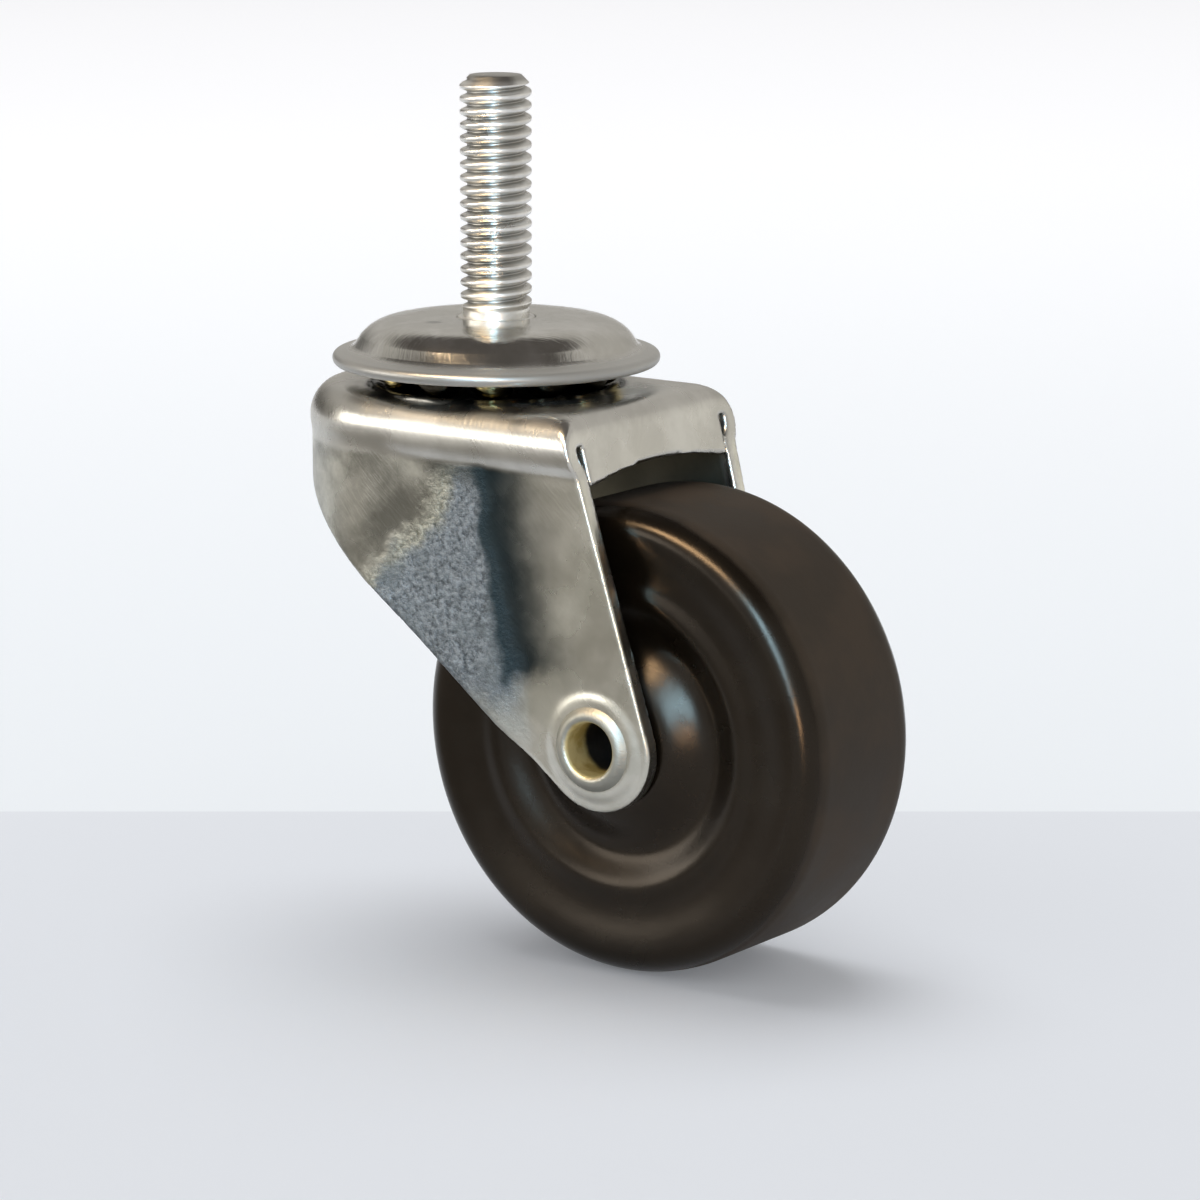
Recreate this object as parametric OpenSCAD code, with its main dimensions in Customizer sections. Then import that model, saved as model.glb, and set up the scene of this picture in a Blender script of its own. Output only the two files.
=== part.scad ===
// Light swivel castor with a threaded stem and a hard rubber wheel.
// Z points up along the stem, and Z = 0 is the flat top of the round cap.
// The wheel trails towards +X, and its axle lies along Y.

/* [Stem] */
// Diameter of the stem over its thread
stem_d = 7.75; // [6:0.05:8]
// Length of the stem above the cap
stem_len = 26; // [15:0.1:60]
// Diameter of the flat at the stem's tip
stem_tip_d = 5.6; // [4:0.1:5.9]
// Diameter of the kingpin, from its seat in the cap down
kingpin_d = 8.4; // [8:0.1:9]
// Diameter of the collar that bears against the underside of the cap
collar_d = 12; // [10:0.1:13]
// Thickness of that collar
collar_t = 1.5; // [1:0.1:1.8]
// Diameter of the kingpin's step that holds the lower race
peg_d = 6.8; // [6:0.1:7.5]
// Diameter of the peened head below the lower race
head_d = 10.4; // [9.5:0.1:12]
// Height of the peened head
head_h = 1.9; // [1:0.1:2.5]

/* [Top cap] */
// Width of the flared rim outside the cap's shoulder
flare_w = 3.25; // [2.8:0.05:3.8]
// Depth from the top of the cap to the middle of the rim's bead
cap_h = 4.4; // [4.3:0.05:4.6]
// Thickness of the cap's sheet
cap_t = 1.6; // [1.5:0.05:1.7]
// Radius of the crown between the flat and the cap's shoulder
crown_r = 22; // [20:0.5:24]
// Radius by which the cap's shoulder is wider than the balls under it
cap_slack = 0.56; // [0.4:0.02:0.8]
// Radius of the rolled rim's bead
bead_r = 0.7; // [0.6:0.05:0.8]

/* [Ball races] */
// Diameter of a ball in the main race
ball_d = 5.56; // [5.4:0.02:5.6]
// Number of balls in the main race
ball_count = 12; // [11:1:14]
// Gap between neighbouring balls of the main race
ball_spacing = 0.24; // [0.1:0.02:0.4]
// Depth of the main race's groove in the fork
race_groove = 0.52; // [0.3:0.02:0.8]
// Diameter of a ball in the lower race
lower_ball_d = 3.18; // [3:0.02:3.2]
// Number of balls in the lower race
lower_ball_count = 13; // [8:1:13]
// Distance from the fork's hole to the balls of the lower race
lower_race_in = 0.5; // [0.3:0.05:0.8]
// Depth of the lower race's groove
lower_groove = 0.6; // [0.4:0.05:0.8]
// Thickness of the lower race's sheet
lower_race_t = 1.4; // [1.2:0.05:1.6]

/* [Fork] */
// Thickness of the fork's sheet
fork_t = 1.8; // [1.6:0.05:2]
// Distance from the balls out to the edge of the shoulder
shoulder_out = 1.42; // [1.2:0.02:2]
// Radius of the rounded shoulder
shoulder_r = 4; // [3.8:0.1:4.2]
// Depth of the nose's wall behind the shoulder's edge
wall_inset = 0.2; // [0.15:0.05:0.4]
// Distance from the swivel axis to the front of the nose
nose_reach = 21.6; // [20:0.1:24]
// Radius of the bend from the top plate into the apron
apron_bend_r = 3.6; // [2.5:0.1:4]
// Depth from the fork's top to the apron's lower corners
apron_h = 7.7; // [7:0.1:9]
// Height of the arch in the apron's lower edge
apron_arch = 1.4; // [1:0.1:3]
// Gap between the apron and each leg
slit_w = 0.4; // [0.3:0.05:0.8]
// Depth from the fork's top at which the slits start
slit_top = 3.4; // [3:0.1:5]
// Distance by which the legs are set in under the shoulder
leg_inset = 0.8; // [0.5:0.05:1.2]
// Radius of the legs' round ends
leg_end_r = 7; // [6.4:0.1:8]
// Slope of the legs' trailing edge from the vertical
trail_slope = 16; // [13:0.1:18]
// Slope of the legs' leading edge from the horizontal
lead_slope = 39.3; // [37:0.1:41]
// Distance from the swivel axis back to the fold in each leg
fold_x = 14.5; // [10:0.1:16]

/* [Wheel] */
// Diameter of the wheel
wheel_d = 50.8; // [48:0.1:51.5]
// Width of the wheel over its face lips
wheel_w = 20.2; // [18:0.1:20.6]
// Distance that the axle trails behind the swivel axis
swivel_lead = 22.6; // [22:0.1:24]
// Clearance between the kingpin's head and the height of the wheel's top
wheel_gap = 2.6; // [2:0.1:6]
// Radius of the rounded edge of the tread
tread_edge_r = 2.2; // [1.5:0.1:3]
// Radius of the ring on the wheel's face
ring_r = 16; // [15.6:0.1:17]
// Radius of the bead that forms that ring
ring_bead_r = 0.9; // [0.6:0.05:1.1]
// Distance by which the hub stands proud of the face lips
hub_rise = 0.75; // [0.5:0.05:1.5]
// Radius of the hub boss's flat face
boss_r = 6.6; // [6:0.1:7.2]
// Radius of the boss's domed flank
boss_flank_r = 6.2; // [5.5:0.1:6.4]
// Depth of the web behind the wheel's face lips
web_depth = 0.9; // [0.4:0.1:1.5]
// Depth of the valley round the boss behind the web
valley_depth = 1.95; // [1:0.05:2.4]
// Width of the slope from the web up to the face lip
lip_w = 1.6; // [1:0.1:2.2]

/* [Axle] */
// Outside diameter of the axle rivet's tube
rivet_d = 6.8; // [5.5:0.05:7]
// Wall of the axle rivet's tube
rivet_wall = 0.5; // [0.4:0.05:0.8]
// Diameter over the rivet's rolled ends
rivet_head_d = 9.6; // [9:0.1:10.4]
// Height of the rivet's rolled ends
rivet_head_h = 1.3; // [1.1:0.05:1.8]
// Outside diameter of the bush that the wheel turns on
bush_d = 8.6; // [8.2:0.1:10]
// Radius of the flat pad round the axle hole
pad_r = 5.4; // [5.2:0.1:6]

/* [Fits] */
// Radial clearance of the wheel on its bush
running_gap = 0.08; // [0.02:0.01:0.1]
// Radial clearance of parts that are assembled tight
tight_gap = 0.02; // [0.01:0.01:0.05]
// Clearance between a ball and its races
ball_gap = 0.06; // [0.04:0.01:0.1]
// Clearance between the wheel's hub and each leg
hub_gap = 0.3; // [0.2:0.05:0.5]
// Clearance of the fork's hole round the kingpin
kingpin_gap = 0.8; // [0.5:0.05:1]

/* [Hidden] */
function numbered(name, count) =
    [for (i = [1 : count]) str(name, i < 10 ? "_0" : "_", i)];
BALLS = numbered("race_ball", ball_count);
LOWER_BALLS = numbered("lower_ball", lower_ball_count);
$fn = 96;
// Length by which a cutting tool runs past the surface it cuts
over = 1;
// A length past every face of the castor
far = 100;
// Thickness of a slice that holds a section's place in a hull
slice = 0.01;

// Points of an arc about (x, y), from angle a0 to angle a1
function arc(x, y, r, a0, a1, steps = 8) =
    [for (i = [0 : steps]) let (a = a0 + (a1 - a0) * i / steps)
        [x + r * cos(a), y + r * sin(a)]];
function reversed(list) = [for (i = [len(list) - 1 : -1 : 0]) list[i]];

// Main race: its balls run in the cap's shoulder and in the fork's groove
race_d = (ball_d + ball_spacing) / sin(180 / ball_count);
// Angle from the vertical at which a ball touches the cap's shoulder
race_contact = 32.5;
// Share of the balls' spacing by which each row is turned about the kingpin
ball_phase = 0.17;

// Top cap: the crown arc runs from the flat to crown_end, and the shoulder arc
// from there to bend_end, where the flare starts
crown_end = 10;
bend_end = 46;
cap_shoulder_r = ball_d / 2 + ball_gap + cap_slack + cap_t;
cap_bend_x = race_d / 2 - cap_slack * sin(race_contact);
cap_bend_z = -crown_r + (crown_r - cap_shoulder_r) * cos(crown_end);
crown_x = cap_bend_x - (crown_r - cap_shoulder_r) * sin(crown_end);
cap_d = 2 * (cap_bend_x + cap_shoulder_r * sin(bend_end) + flare_w);

// Line of the cap's sheet, at a depth of skin below its outer face
function cap_line(skin) = concat(
    [[kingpin_d / 2 + tight_gap, -skin]],
    arc(crown_x, -crown_r, crown_r - skin, 90, 90 - crown_end, 4),
    arc(cap_bend_x, cap_bend_z, cap_shoulder_r - skin, 84 - crown_end, 90 - bend_end));

ball_z = cap_bend_z + cap_slack * cos(race_contact);
race_groove_r = ball_d / 2 + ball_gap;
fork_top = ball_z - race_groove_r + race_groove;
fork_low = fork_top - fork_t;

// Lower race: its balls run under the fork's plate
fork_hole_d = kingpin_d + 2 * kingpin_gap;
lower_race_d = fork_hole_d + 2 * lower_race_in + lower_ball_d;
lower_groove_r = lower_ball_d / 2 + ball_gap;
lower_ball_z = fork_low + lower_groove - lower_groove_r;
lower_race_top = lower_ball_z - lower_groove_r + lower_groove;
lower_race_low = lower_race_top - lower_race_t;
// Width of the rim outside the lower race's groove
lower_rim = 1;

// Axle and legs
axle_z = lower_race_low - head_h - wheel_gap - wheel_d / 2;
nose_r = race_d / 2 + ball_d / 2 + shoulder_out;
wall_r = nose_r - wall_inset;
nose_x = nose_r - nose_reach;
shoulder_y = nose_r - shoulder_r;
shoulder_z = fork_top - shoulder_r;

// Wheel, and the pads that stand clear of its hub
hub_y = wheel_w / 2 + hub_rise;
pad_in = hub_y + hub_gap;

// The legs slope from top_y under the shoulder to axle_y at the axle, and each
// pad meets its leg's inner face at the pad's top
top_y = nose_r - leg_inset;
leg_top_z = shoulder_z - sqrt(shoulder_r * shoulder_r - pow(top_y - shoulder_y, 2));
pad_share = pad_r / (leg_top_z - axle_z);
axle_y = (pad_in + fork_t + top_y * pad_share) / (1 + pad_share);
leg_taper = (top_y - axle_y) / (leg_top_z - axle_z);
leg_low_z = axle_z - leg_end_r - over;
function leg_y(z) = axle_y + leg_taper * (z - axle_z);
pad_out = axle_y + leg_taper * pad_r;

module threaded_stem() {
    tip_h = (stem_d - stem_tip_d) / 2;
    collar_z = -cap_t - collar_t;
    color("gainsboro") {
        cylinder(d = stem_d, h = stem_len - tip_h);
        translate([0, 0, stem_len - tip_h])
            cylinder(d1 = stem_d, d2 = stem_tip_d, h = tip_h);
        translate([0, 0, -cap_t]) cylinder(d = kingpin_d, h = cap_t);
        translate([0, 0, collar_z]) cylinder(d = collar_d, h = collar_t);
        translate([0, 0, lower_race_top])
            cylinder(d = kingpin_d, h = collar_z - lower_race_top);
        translate([0, 0, lower_race_low - head_h / 2])
            cylinder(d = peg_d, h = over - lower_race_low + head_h / 2);
        peened_head();
    }
}

module peened_head() {
    crown = (head_d * head_d / 4 + head_h * head_h) / 2 / head_h;
    translate([0, 0, lower_race_low]) rotate_extrude() intersection() {
        translate([0, crown - head_h]) circle(crown);
        translate([0, -head_h]) square([head_d, head_h]);
    }
}

module top_cap() {
    rim_x = cap_d / 2 - bead_r;
    color("silver") rotate_extrude()
        polygon(concat(
            cap_line(0),
            arc(rim_x, -cap_h, bead_r, 130, -90, 12),
            [[rim_x - cap_t, -bead_r - cap_h]],
            reversed(cap_line(cap_t))));
}

module ball(index, count, pitch_d, d, z) {
    color("lightgray") rotate([0, 0, (index + ball_phase) * 360 / count])
        translate([pitch_d / 2, 0, z]) sphere(d = d);
}

// Section of the ring that a row of balls sweeps, for a ball radius of ball_r
module groove_ring(pitch_d, z, ball_r) {
    translate([pitch_d / 2, z]) circle(ball_r);
}

module lower_race() {
    hole_r = peg_d / 2 + tight_gap;
    rim_r = lower_race_d / 2 + lower_groove_r + lower_rim;
    color("silver") rotate_extrude() difference() {
        union() {
            translate([hole_r, lower_race_low]) square([rim_r - hole_r, lower_race_t]);
            translate([rim_r - lower_rim, lower_race_low])
                square([lower_rim, lower_race_t + lower_groove]);
            intersection() {
                groove_ring(lower_race_d, lower_ball_z, lower_groove_r + lower_race_t);
                translate([hole_r, lower_race_top - far]) square([far, far]);
            }
        }
        groove_ring(lower_race_d, lower_ball_z, lower_groove_r);
    }
}

// Rings where the two races push the fork's plate down and up
module fork_bulges() {
    rotate_extrude() {
        intersection() {
            groove_ring(race_d, ball_z, race_groove_r + fork_t);
            translate([0, fork_top - far]) square([nose_r - fork_t, far]);
        }
        intersection() {
            groove_ring(lower_race_d, lower_ball_z, lower_groove_r + fork_t);
            translate([0, fork_low]) square([nose_r, far]);
        }
    }
}

// What is cut for both races and for the kingpin
module fork_bores() {
    rotate_extrude() {
        groove_ring(race_d, ball_z, race_groove_r);
        groove_ring(lower_race_d, lower_ball_z, lower_groove_r);
    }
    translate([0, 0, fork_low - over])
        cylinder(d = fork_hole_d, h = fork_t + 3 * over);
    translate([swivel_lead, 0, axle_z]) rotate([90, 0, 0])
        cylinder(d = rivet_d + 2 * tight_gap, h = far, center = true);
}

// Half section of the rolled shoulder, skin deep under the outer face, and
// filled down to z = low
module rolled_edge(skin, low) {
    translate([0, low]) square([shoulder_y, fork_top - skin - low]);
    translate([shoulder_y, shoulder_z]) circle(shoulder_r - skin);
}

module nose_section(skin) {
    rolled_edge(skin, shoulder_z - shoulder_r);
    translate([0, leg_low_z]) square([wall_r - skin, shoulder_z - leg_low_z]);
}

module shoulder_section(skin) {
    rolled_edge(skin, shoulder_z - shoulder_r);
    mirror([1, 0]) rolled_edge(skin, shoulder_z - shoulder_r);
}

// Section of both legs, from the shoulder down past the axle
module legs_section(skin) {
    high = leg_y(shoulder_z) - skin;
    low = leg_y(leg_low_z) - skin;
    polygon([[-high, shoulder_z], [high, shoulder_z], [low, leg_low_z], [-low, leg_low_z]]);
}

module along_x(from_x, to_x) {
    translate([from_x, 0, 0]) rotate([90, 0, 90]) linear_extrude(to_x - from_x) children();
}

module along_y(width) {
    translate([0, width / 2, 0]) rotate([90, 0, 0]) linear_extrude(width) children();
}

// Body of the fork, solid for skin = 0, and its hollow for skin = fork_t
module fork_body(skin) {
    wall_y = wall_r - skin;
    translate([nose_x, 0, 0]) rotate([0, 0, 90])
        rotate_extrude(angle = 180) nose_section(skin);
    along_x(nose_x, far) shoulder_section(skin);
    hull() {
        translate([nose_x, -wall_y, leg_low_z])
            cube([slice, 2 * wall_y, shoulder_z - leg_low_z]);
        along_x(fold_x, fold_x + slice) legs_section(skin);
    }
    along_x(fold_x, far) legs_section(skin);
}

// Side view of the fork: the trailing edge slopes back from the bend of the
// apron, runs round the axle and goes up along the leading edge.
function trail_x(z) =
    swivel_lead + leg_end_r / cos(trail_slope) - (z - axle_z) * tan(trail_slope);
function lead_x(z) =
    swivel_lead - (z - axle_z + leg_end_r / cos(lead_slope)) / tan(lead_slope);
bend_z = fork_top - apron_bend_r;
bend_x = trail_x(bend_z) - apron_bend_r / cos(trail_slope);

module fork_side() {
    polygon(concat(
        [[lead_x(fork_top), fork_top]],
        arc(bend_x, bend_z, apron_bend_r, 90, trail_slope, 10),
        arc(swivel_lead, axle_z, leg_end_r, trail_slope, -90 - lead_slope, 20)));
}

// Side view of the hollow in front of the apron
module hollow_side() {
    inner_r = apron_bend_r - fork_t;
    inner_x = trail_x(-far) - fork_t / cos(trail_slope);
    polygon(concat(
        [[-far, fork_low]],
        arc(bend_x, bend_z, inner_r, 90, trail_slope, 10),
        [[inner_x, -far], [-far, -far]]));
}

// Rear view of the apron, a tongue with an arched lower edge
module apron_tongue() {
    half = leg_y(fork_top - slit_top) - fork_t - slit_w;
    low = fork_top - apron_h;
    arch_r = (half * half + apron_arch * apron_arch) / 2 / apron_arch;
    difference() {
        translate([-half, low]) square([2 * half, apron_h]);
        translate([0, low + apron_arch - arch_r]) circle(arch_r);
    }
}

// Pads round the axle hole, flat where the legs slope
module axle_pads() {
    for (side = [0, 180])
        translate([swivel_lead, 0, axle_z]) rotate([90, 0, side])
            translate([0, 0, pad_in]) cylinder(r = pad_r, h = pad_out - pad_in);
}

module fork_shell() {
    slit_z = fork_top - slit_top;
    difference() {
        intersection() {
            fork_body(0);
            along_y(far) fork_side();
        }
        intersection() {
            fork_body(fork_t);
            union() {
                along_y(far) hollow_side();
                along_x(0, far) difference() {
                    translate([-far, slit_z - far]) square([2 * far, far]);
                    apron_tongue();
                }
            }
        }
    }
}

module fork() {
    color("silver") difference() {
        union() {
            fork_shell();
            fork_bulges();
            axle_pads();
        }
        fork_bores();
    }
}

module axle_rivet() {
    inner_r = rivet_d / 2 - rivet_wall;
    roll_r = (rivet_head_d / 2 - inner_r) / 2;
    roll_y = pad_out + rivet_head_h - roll_r;
    color("goldenrod") translate([swivel_lead, 0, axle_z]) rotate([90, 0, 0])
        rotate_extrude() {
            translate([inner_r, -roll_y]) square([rivet_wall, 2 * roll_y]);
            for (side = [0, 1]) mirror([0, side]) intersection() {
                translate([inner_r + roll_r, roll_y]) circle(roll_r);
                translate([0, pad_out + tight_gap]) square([far, far]);
            }
        }
}

module axle_bush() {
    color("darkgray") translate([swivel_lead, 0, axle_z]) rotate([90, 0, 0])
        difference() {
            cylinder(d = bush_d, h = 2 * pad_in, center = true);
            cylinder(d = rivet_d + 2 * tight_gap, h = 2 * pad_in + over, center = true);
        }
}

// Half section of the wheel, from its bore over the boss's flank, the valley,
// the ring and the face lip to its tread
function wheel_line() =
    let (face = wheel_w / 2, web = face - web_depth, valley = web - valley_depth)
    let (flank_y = hub_y - boss_flank_r, tread_r = wheel_d / 2)
    let (edge_x = tread_r - tread_edge_r, foot = asin((valley - flank_y) / boss_flank_r))
    concat(
        [[bush_d / 2 + running_gap, hub_y]],
        arc(boss_r, flank_y, boss_flank_r, 90, foot),
        [[ring_r - 2 * ring_bead_r, valley]],
        arc(ring_r, web, ring_bead_r, 180, 0),
        [[edge_x - lip_w, web]],
        arc(edge_x, face - tread_edge_r, tread_edge_r, 100, 0));

module wheel() {
    half = wheel_line();
    mirrored = [for (p = reversed(half)) [p[0], -p[1]]];
    color([0.16, 0.12, 0.11]) translate([swivel_lead, 0, axle_z]) rotate([90, 0, 0])
        rotate_extrude() polygon(concat(half, mirrored));
}

threaded_stem();
top_cap();
fork();
lower_race();
axle_rivet();
axle_bush();
wheel();
for (i = [0 : ball_count - 1])
    ball(i, ball_count, race_d, ball_d, ball_z);
for (i = [0 : lower_ball_count - 1])
    ball(i, lower_ball_count, lower_race_d, lower_ball_d, lower_ball_z);
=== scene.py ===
# %% [markdown]
# # A light swivel castor
# The castor is a threaded stem and a round cap over a ball race, and a pressed fork
# that trails a hard rubber wheel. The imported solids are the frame: they give every
# piece its place. This script makes the pieces that need more than a solid shows,
# and gives a finish to all of them.
# Sizes are written in millimetres, as on a drawing, and turned into metres when a
# mesh is made.

# %% Load the frame
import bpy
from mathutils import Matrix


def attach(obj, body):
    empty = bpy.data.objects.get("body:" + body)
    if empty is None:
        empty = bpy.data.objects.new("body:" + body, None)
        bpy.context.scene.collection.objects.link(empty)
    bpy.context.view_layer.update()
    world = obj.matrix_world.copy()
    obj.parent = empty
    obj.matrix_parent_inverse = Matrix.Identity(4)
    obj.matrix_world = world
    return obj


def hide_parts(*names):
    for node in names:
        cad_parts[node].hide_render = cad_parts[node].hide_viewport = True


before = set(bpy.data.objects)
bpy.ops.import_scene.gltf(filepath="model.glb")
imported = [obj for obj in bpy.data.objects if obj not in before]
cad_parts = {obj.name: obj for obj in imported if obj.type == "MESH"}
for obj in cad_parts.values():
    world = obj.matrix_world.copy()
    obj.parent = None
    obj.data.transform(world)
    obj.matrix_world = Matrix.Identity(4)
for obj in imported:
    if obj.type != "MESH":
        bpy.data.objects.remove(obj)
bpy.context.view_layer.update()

import math

import bmesh
import bpy
import numpy as np
from mathutils import Vector

MM = 0.001

# %% [markdown]
# ## Sizes that all pieces share
# They repeat the drawing of the solids. Z = 0 is the flat top of the cap, the wheel
# trails towards +X, and its axle lies along Y.

# %% Sizes of the castor
STEM_R, STEM_LEN, STEM_TIP_R = 3.875, 26.0, 2.8
KINGPIN_R, COLLAR_R, COLLAR_T, PEG_R = 4.2, 6.0, 1.5, 3.4
HEAD_R, HEAD_H = 5.2, 1.9
CAP_T, CAP_H, CAP_R, BEAD_R = 1.6, 4.4, 17.75, 0.7
CROWN_R, CROWN_X, BEND_R, BEND_X, BEND_Z = 22.0, 7.952, 5.0, 10.904, -5.258
BALL_ROW_R, BALL_Z, BALL_GROOVE_R = 11.205, -4.786, 2.84
LOWER_ROW_R, LOWER_BALL_Z, LOWER_GROOVE_R = 7.09, -9.956, 1.65
RACE_TOP, RACE_LOW = -11.006, -12.406
SHEET_T, FORK_TOP, SHOULDER_R, NOSE_R, WALL_R = 1.8, -7.106, 4.0, 15.405, 15.205
NOSE_X, FOLD_X, AXLE_X, AXLE_Z = -6.195, 14.5, 22.6, -42.306
LEG_AXLE_Y, LEG_TAPER, LEG_END_R = 13.211, 0.0484, 7.0
PAD_IN, PAD_OUT, PAD_R = 11.15, 13.47, 5.4
WHEEL_R, WHEEL_HALF, HUB_Y, BUSH_R = 25.4, 10.1, 10.85, 4.3
AXLE = (AXLE_X, 0.0, AXLE_Z)
FLOOR_Z = AXLE_Z - WHEEL_R
print("the castor stands", round(STEM_LEN - FLOOR_Z, 1), "mm high")

# %% [markdown]
# ## The camera
# The photograph was taken with a long lens from a little above the castor and to the
# side, so its edges stay nearly parallel. The camera looks at a point between the cap
# and the wheel, and a small shift puts that point where the photograph has it.

# %% Place the camera
aim = Vector((0.010, 0.0, -0.0293))
towards_camera = Vector((0.5783, -0.7902, 0.2028)).normalized()
CAMERA_DISTANCE = 0.5
camera_data = bpy.data.cameras.new("camera")
camera_data.lens = 138.75
camera_data.sensor_width = 36.0
camera_data.shift_x = 0.0242
camera_data.shift_y = -0.0067
camera_data.clip_start = 0.01
camera_data.clip_end = 20.0
camera = bpy.data.objects.new("camera", camera_data)
camera.location = aim + towards_camera * CAMERA_DISTANCE
camera.rotation_euler = (-towards_camera).to_track_quat("-Z", "Y").to_euler()
bpy.context.scene.collection.objects.link(camera)
bpy.context.scene.camera = camera
print("camera at", [round(c, 3) for c in camera.location])

# %% [markdown]
# ## Two helpers for turned and pressed round pieces
# A lathe gives a piece its shape by one profile that goes round an axis. The same is
# true of a drawn cup and of a moulded wheel. `arc` gives the points of a curved part
# of a profile, and `eased` rounds the corners between the parts, because no edge on
# metal or rubber is quite sharp. A rounded edge is what catches the light.

# %% Profiles
def arc(x, y, radius, start, end, steps=12):
    angles = np.radians(np.linspace(start, end, steps + 1))
    return [(x + radius * math.cos(a), y + radius * math.sin(a)) for a in angles]


def eased(profile, radius, steps=4, least_turn=14.0):
    points = [np.array(p, float) for p in profile]
    result = []
    for i, here in enumerate(points):
        before, after = points[i - 1], points[(i + 1) % len(points)]
        a, b = before - here, after - here
        la, lb = np.linalg.norm(a), np.linalg.norm(b)
        inner = math.acos(max(-1.0, min(1.0, float(a @ b) / la / lb)))
        if math.pi - inner < math.radians(least_turn):
            result.append(tuple(here))
            continue
        reach = min(radius / math.tan(inner / 2), 0.45 * la, 0.45 * lb)
        start, end = here + a / la * reach, here + b / lb * reach
        for t in np.linspace(0, 1, steps + 1):
            result.append(tuple((1 - t) ** 2 * start + 2 * t * (1 - t) * here + t * t * end))
    return result


# %% Spin a profile into a closed mesh
def outward(mesh):
    bm = bmesh.new()
    bm.from_mesh(mesh)
    bmesh.ops.remove_doubles(bm, verts=bm.verts, dist=1e-6)
    bmesh.ops.recalc_face_normals(bm, faces=bm.faces)
    if bm.calc_volume(signed=True) < 0:
        bmesh.ops.reverse_faces(bm, faces=bm.faces)
    bm.to_mesh(mesh)
    bm.free()
    mesh.shade_smooth()


def turned(name, profile, axis="z", centre=(0.0, 0.0, 0.0), segments=192):
    ring = np.array(profile)
    angles = np.linspace(0, 2 * math.pi, segments, endpoint=False)
    r, along = ring[:, 0][:, None], np.repeat(ring[:, 1][:, None], segments, 1)
    c, s = r * np.cos(angles), r * np.sin(angles)
    parts = (c, s, along) if axis == "z" else (c, along, s)
    points = np.stack(parts, -1).reshape(-1, 3) + np.array(centre)
    count = len(ring)
    faces = [(i * segments + j, i * segments + (j + 1) % segments,
              (i + 1) % count * segments + (j + 1) % segments, (i + 1) % count * segments + j)
             for i in range(count) for j in range(segments)]
    mesh = bpy.data.meshes.new(name)
    mesh.from_pydata((points * MM).tolist(), [], faces)
    outward(mesh)
    piece = bpy.data.objects.new(name, mesh)
    bpy.context.scene.collection.objects.link(piece)
    print(name, "has", len(mesh.polygons), "faces")
    return piece


# %% [markdown]
# ## Helpers for finishes
# A finish is a Principled BSDF whose inputs are fed by noise on Object coordinates, so
# the pattern stays on the piece when the piece moves. `node` adds one node and fills
# its inputs, and `math_node`, `mixed` and `ramp` are short forms for three of them.

# %% Node helpers
def node(tree, kind, inputs=None, **settings):
    made = tree.nodes.new(kind)
    for key, value in settings.items():
        setattr(made, key, value)
    for key, value in (inputs or {}).items():
        if isinstance(value, bpy.types.NodeSocket):
            tree.links.new(value, made.inputs[key])
        else:
            made.inputs[key].default_value = value
    return made


def math_node(tree, operation, a, b=0.0):
    return node(tree, "ShaderNodeMath", {0: a, 1: b}, operation=operation).outputs[0]


def mixed(tree, share, a, b):
    # A Mix node has its colours in sockets 6 and 7, and the mixed colour in output 2
    return node(tree, "ShaderNodeMix", {0: share, 6: a, 7: b}, data_type="RGBA").outputs[2]


def ramp(tree, value, low, high, low_to=0.0, high_to=1.0):
    made = node(tree, "ShaderNodeMapRange", {0: value, 1: low, 2: high, 3: low_to, 4: high_to},
                interpolation_type="SMOOTHSTEP")
    return made.outputs[0]


def colour(r, g, b):
    return (r, g, b, 1.0)


# %% [markdown]
# ## Two effects that several finishes share
# Plated sheet is never even: the bath leaves clouds, and handling leaves hair-thin
# scratches. Both are node groups with their own sockets, built once, so that each
# finish can set how large and how strong they are.

# %% Group for the clouds in a plating
def group(name, inputs, outputs):
    made = bpy.data.node_groups.new(name, "ShaderNodeTree")
    for socket, kind, value in inputs:
        made.interface.new_socket(socket, in_out="INPUT", socket_type=kind).default_value = value
    for socket, kind in outputs:
        made.interface.new_socket(socket, in_out="OUTPUT", socket_type=kind)
    return made, node(made, "NodeGroupInput"), node(made, "NodeGroupOutput")


def make_plating_clouds():
    tree, source, result = group(
        "plating_clouds",
        [("Patch Scale", "NodeSocketFloat", 90.0), ("Grain Scale", "NodeSocketFloat", 900.0)],
        [("Cloud", "NodeSocketFloat"), ("Grain", "NodeSocketFloat")])
    where = node(tree, "ShaderNodeTexCoord").outputs["Object"]
    cloud = node(tree, "ShaderNodeTexNoise",
                 {"Vector": where, "Scale": source.outputs["Patch Scale"],
                  "Detail": 6.0, "Roughness": 0.6})
    grain = node(tree, "ShaderNodeTexNoise",
                 {"Vector": where, "Scale": source.outputs["Grain Scale"],
                  "Detail": 8.0, "Roughness": 0.72})
    tree.links.new(cloud.outputs["Fac"], result.inputs["Cloud"])
    tree.links.new(grain.outputs["Fac"], result.inputs["Grain"])
    return tree


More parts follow.
